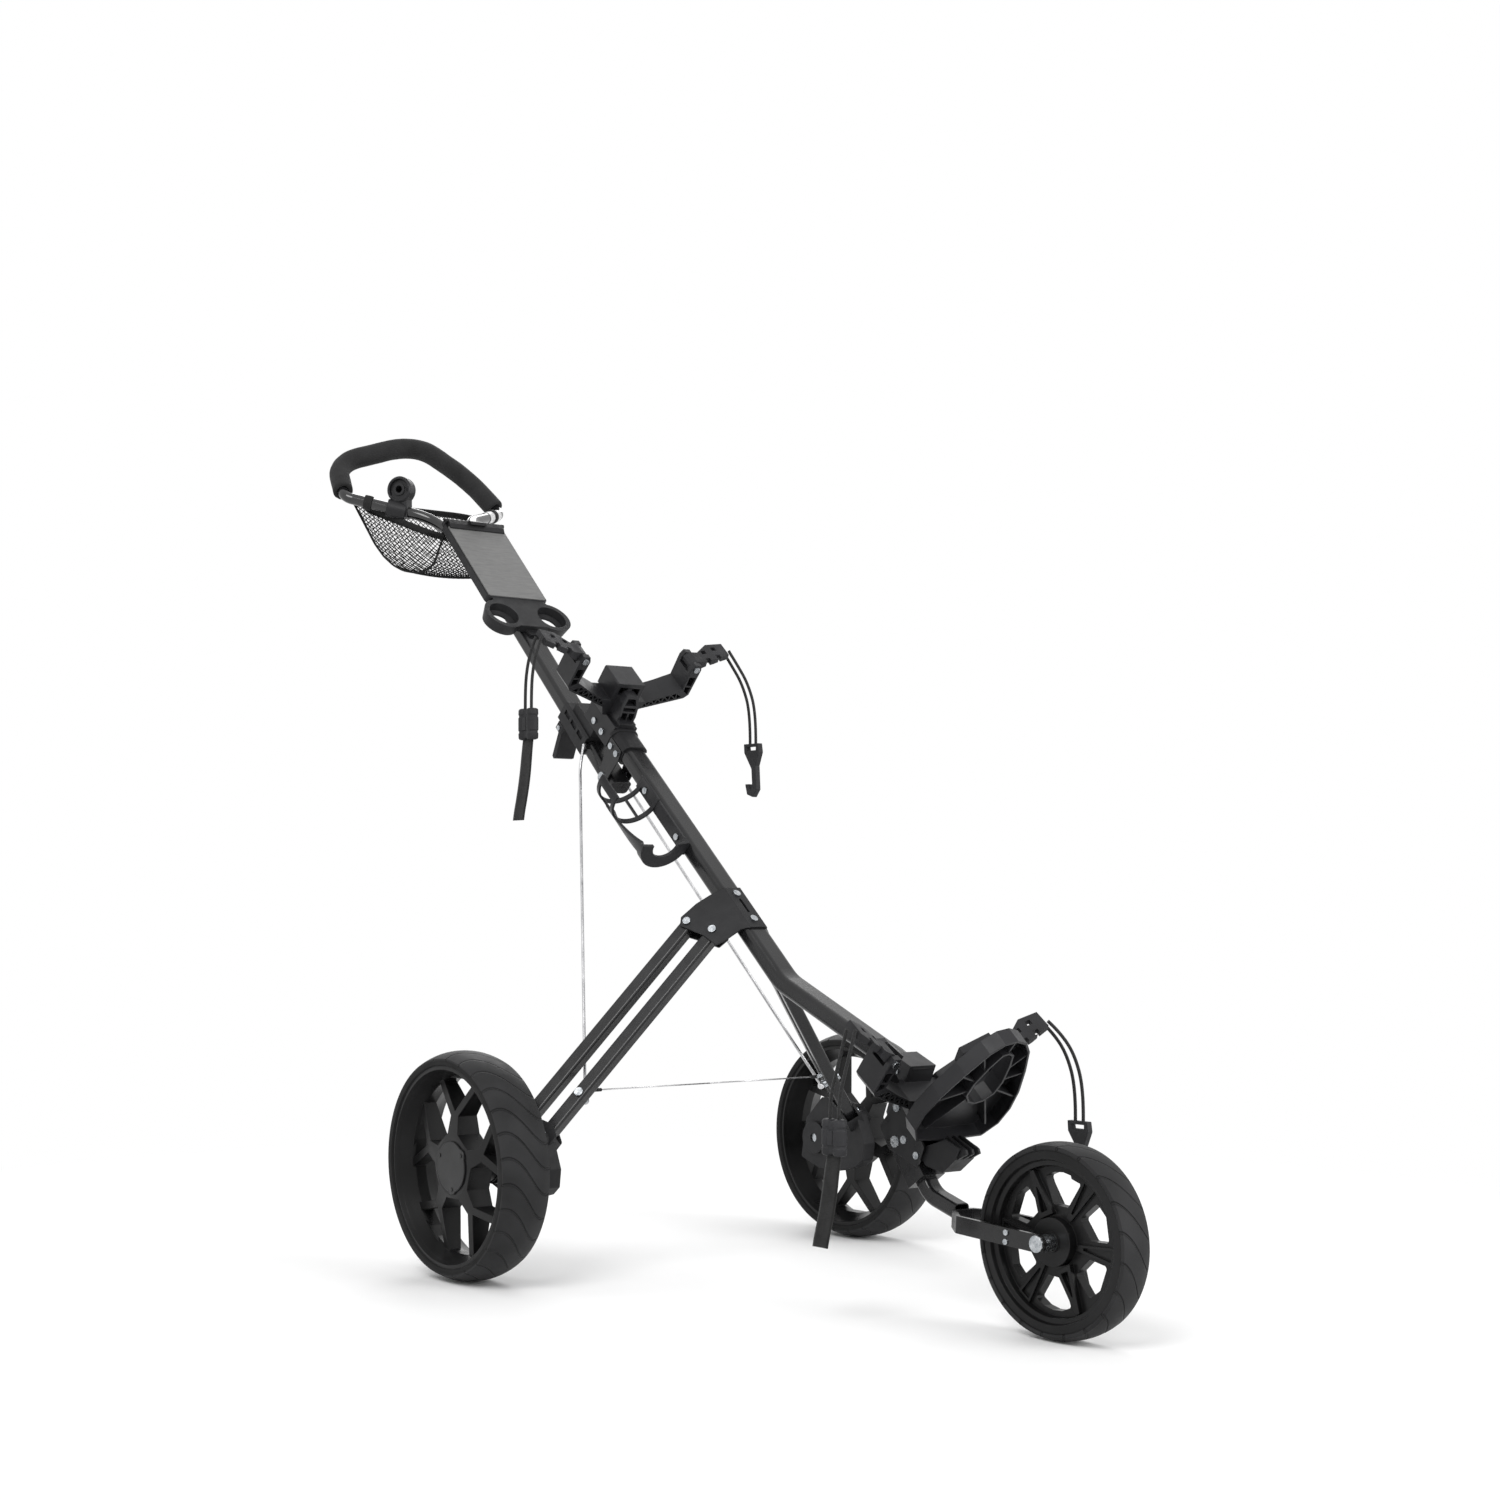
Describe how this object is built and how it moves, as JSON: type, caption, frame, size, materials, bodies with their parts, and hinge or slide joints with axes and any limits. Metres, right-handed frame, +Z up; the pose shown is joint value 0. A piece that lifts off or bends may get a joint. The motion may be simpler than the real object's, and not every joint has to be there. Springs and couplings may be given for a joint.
{
  "type": "folding golf push cart",
  "caption": "Folding push cart for a golf bag, with a looped handle, bag cradles, linked rear legs and a folding front wheel.",
  "frame": {"origin": "on the ground under the middle of the cart", "axes": "+X forward to the front wheel, +Y to the cart's left, +Z up"},
  "size_m": [1.4606, 0.699, 1.1563],
  "materials": {
    "frame_paint": "satin",
    "moulding": "fine textured",
    "steel_plate": "gloss black",
    "zinc": "bright zinc",
    "rod_steel": "polished",
    "rim": "gloss",
    "tyre_foam": "matte foam",
    "panel": "satin grey",
    "grip_foam": "matte foam",
    "net_cord": "knotted mesh",
    "strap_rubber": "matte",
    "strap_cord": "woven",
    "clear_band": "milky",
    "hub_badge": "satin silver"
  },
  "bodies": {
    "frame": {"main_tube": "frame_paint", "tube_collar": "moulding", "upper_hinge_plates": "steel_plate", "upper_hinge_fasteners": "zinc", "upper_bag_cradle": "moulding", "strap_pins": "zinc", "mid_bracket": "moulding", "leg_inner_plates": "steel_plate", "mid_fasteners": "zinc", "bottle_cage": "moulding", "lower_hinge_plates": "steel_plate", "lower_hinge_fasteners": "zinc", "lower_bag_cradle": "moulding", "bag_stirrup": "moulding", "stay_cable": "rod_steel"},
    "nose": {"nose_tube": "frame_paint", "front_fork": "frame_paint", "front_axle": "zinc"},
    "front_wheel": {"front_rim": "rim", "front_tyre": "tyre_foam"},
    "nose_latch": {"nose_latch_lever": "moulding"},
    "shaft": {"upper_shaft": "frame_paint", "shaft_sleeve": "moulding", "shaft_fasteners": "zinc", "console": "moulding", "console_panel": "panel", "handle_tube": "frame_paint", "handle_grip": "grip_foam", "tube_band": "clear_band", "accessory_net": "net_cord", "umbrella_holder": "moulding"},
    "shaft_latch": {"upper_latch_lever": "moulding"},
    "card_clip": {"scorecard_clip": "moulding"},
    "leg_upper_right": {"leg_upper_right": "frame_paint"},
    "leg_lower_right": {"leg_lower_right": "frame_paint", "leg_bolt_right": "zinc"},
    "knuckle_right": {"knuckle_right": "moulding", "knuckle_pins_right": "zinc"},
    "rear_wheel_right": {"rear_rim_right": "rim", "rear_tyre_right": "tyre_foam", "hub_cap_right": "hub_badge"},
    "rod_right": {"rod_right": "rod_steel"},
    "leg_upper_left": {"leg_upper_left": "frame_paint"},
    "leg_lower_left": {"leg_lower_left": "frame_paint", "leg_bolt_left": "zinc"},
    "knuckle_left": {"knuckle_left": "moulding", "knuckle_pins_left": "zinc"},
    "rear_wheel_left": {"rear_rim_left": "rim", "rear_tyre_left": "tyre_foam", "hub_cap_left": "hub_badge"},
    "rod_left": {"rod_left": "rod_steel"},
    "strap_upper_right": {"strap_end_upper_right": "strap_rubber", "strap_cord_upper_right": "strap_cord"},
    "strap_upper_left": {"strap_end_upper_left": "strap_rubber", "strap_cord_upper_left": "strap_cord"},
    "strap_lower_right": {"strap_end_lower_right": "strap_rubber", "strap_cord_lower_right": "strap_cord"},
    "strap_lower_left": {"strap_end_lower_left": "strap_rubber", "strap_cord_lower_left": "strap_cord"}
  },
  "joints": [
    {"name": "shaft_fold", "type": "hinge", "parent": "frame", "child": "shaft", "pos_m": [-0.17767, 0, 0.62461], "axis": [0, -1, 0], "range_deg": [0, 150]},
    {"name": "leg_upper_fold_right", "type": "hinge", "parent": "frame", "child": "leg_upper_right", "pos_m": [0.04853, -0.04783, 0.43034], "axis": [0.4676, -0.723, 0.5086], "range_deg": [0, 50.04]},
    {"name": "leg_lower_fold_right", "type": "hinge", "parent": "frame", "child": "leg_lower_right", "pos_m": [0.08111, -0.03353, 0.42072], "axis": [0.4676, -0.723, 0.5086], "range_deg": [0, 50.04], "deforming": ["stay_cable"]},
    {"name": "knuckle_turn_right", "type": "hinge", "parent": "leg_lower_right", "child": "knuckle_right", "pos_m": [0.02138, -0.24522, 0.1747], "axis": [0.4676, -0.723, 0.5086], "range_deg": [-50.04, 0]},
    {"name": "rod_swing_right", "type": "hinge", "parent": "leg_lower_right", "child": "rod_right", "pos_m": [0.0265, -0.1902, 0.21774], "axis": [-0.5555, 0.641, -0.5297], "range_deg": [0, 28.62]},
    {"name": "rear_wheel_right_spin", "type": "hinge", "parent": "knuckle_right", "child": "rear_wheel_right", "pos_m": [-0.0444, -0.3165, 0.14], "axis": [0, 1, 0], "continuous": true},
    {"name": "leg_upper_fold_left", "type": "hinge", "parent": "frame", "child": "leg_upper_left", "pos_m": [0.04853, 0.04783, 0.43034], "axis": [-0.4676, -0.723, -0.5086], "range_deg": [0, 50.04]},
    {"name": "leg_lower_fold_left", "type": "hinge", "parent": "frame", "child": "leg_lower_left", "pos_m": [0.08111, 0.03353, 0.42072], "axis": [-0.4676, -0.723, -0.5086], "range_deg": [0, 50.04]},
    {"name": "knuckle_turn_left", "type": "hinge", "parent": "leg_lower_left", "child": "knuckle_left", "pos_m": [0.02138, 0.24522, 0.1747], "axis": [-0.4676, -0.723, -0.5086], "range_deg": [-50.04, 0]},
    {"name": "rod_swing_left", "type": "hinge", "parent": "leg_lower_left", "child": "rod_left", "pos_m": [0.0265, 0.1902, 0.21774], "axis": [0.5555, 0.641, 0.5297], "range_deg": [0, 28.62]},
    {"name": "rear_wheel_left_spin", "type": "hinge", "parent": "knuckle_left", "child": "rear_wheel_left", "pos_m": [-0.0444, 0.3165, 0.14], "axis": [0, 1, 0], "continuous": true},
    {"name": "nose_fold", "type": "hinge", "parent": "frame", "child": "nose", "pos_m": [0.3916, 0, 0.1897], "axis": [0, 1, 0], "range_deg": [0, 130]},
    {"name": "front_wheel_spin", "type": "hinge", "parent": "nose", "child": "front_wheel", "pos_m": [0.6256, 0, 0.1047], "axis": [0, 1, 0], "continuous": true},
    {"name": "nose_latch_turn", "type": "hinge", "parent": "frame", "child": "nose_latch", "pos_m": [0.4256, 0, 0.177], "axis": [0, 1, 0], "range_deg": [0, 20], "stiffness_Nm_per_rad": 0.3, "springref_deg": -17.19},
    {"name": "shaft_latch_turn", "type": "hinge", "parent": "shaft", "child": "shaft_latch", "pos_m": [-0.27783, 0, 0.69567], "axis": [0, 1, 0], "range_deg": [0, 25], "stiffness_Nm_per_rad": 0.2, "springref_deg": -17.19},
    {"name": "card_clip_turn", "type": "hinge", "parent": "shaft", "child": "card_clip", "pos_m": [-0.52261, 0, 1.00645], "axis": [0, -1, 0], "range_deg": [0, 60], "stiffness_Nm_per_rad": 0.15, "springref_deg": -17.19},
    {"name": "strap_upper_right_swing", "type": "hinge", "parent": "frame", "child": "strap_upper_right", "pos_m": [-0.12782, -0.0904, 0.77928], "axis": [-0.7361, 0, 0.6769], "range_deg": [0, 90]},
    {"name": "strap_upper_left_swing", "type": "hinge", "parent": "frame", "child": "strap_upper_left", "pos_m": [-0.12782, 0.0904, 0.77928], "axis": [0.7361, 0, -0.6769], "range_deg": [0, 90]},
    {"name": "strap_lower_right_swing", "type": "hinge", "parent": "frame", "child": "strap_lower_right", "pos_m": [0.45258, -0.0904, 0.29532], "axis": [-0.788, 0, 0.6157], "range_deg": [0, 80]},
    {"name": "strap_lower_left_swing", "type": "hinge", "parent": "frame", "child": "strap_lower_left", "pos_m": [0.45258, 0.0904, 0.29532], "axis": [0.788, 0, -0.6157], "range_deg": [0, 80]}
  ],
  "couplings": [
    {"joint": "leg_upper_fold_right", "follows": "shaft_fold", "ratio": 0.33345},
    {"joint": "leg_lower_fold_right", "follows": "shaft_fold", "ratio": 0.33345},
    {"joint": "knuckle_turn_right", "follows": "shaft_fold", "ratio": -0.33345},
    {"joint": "rod_swing_right", "follows": "shaft_fold", "ratio": 0.19068},
    {"joint": "leg_upper_fold_left", "follows": "shaft_fold", "ratio": 0.33345},
    {"joint": "leg_lower_fold_left", "follows": "shaft_fold", "ratio": 0.33345},
    {"joint": "knuckle_turn_left", "follows": "shaft_fold", "ratio": -0.33345},
    {"joint": "rod_swing_left", "follows": "shaft_fold", "ratio": 0.19068}
  ]
}
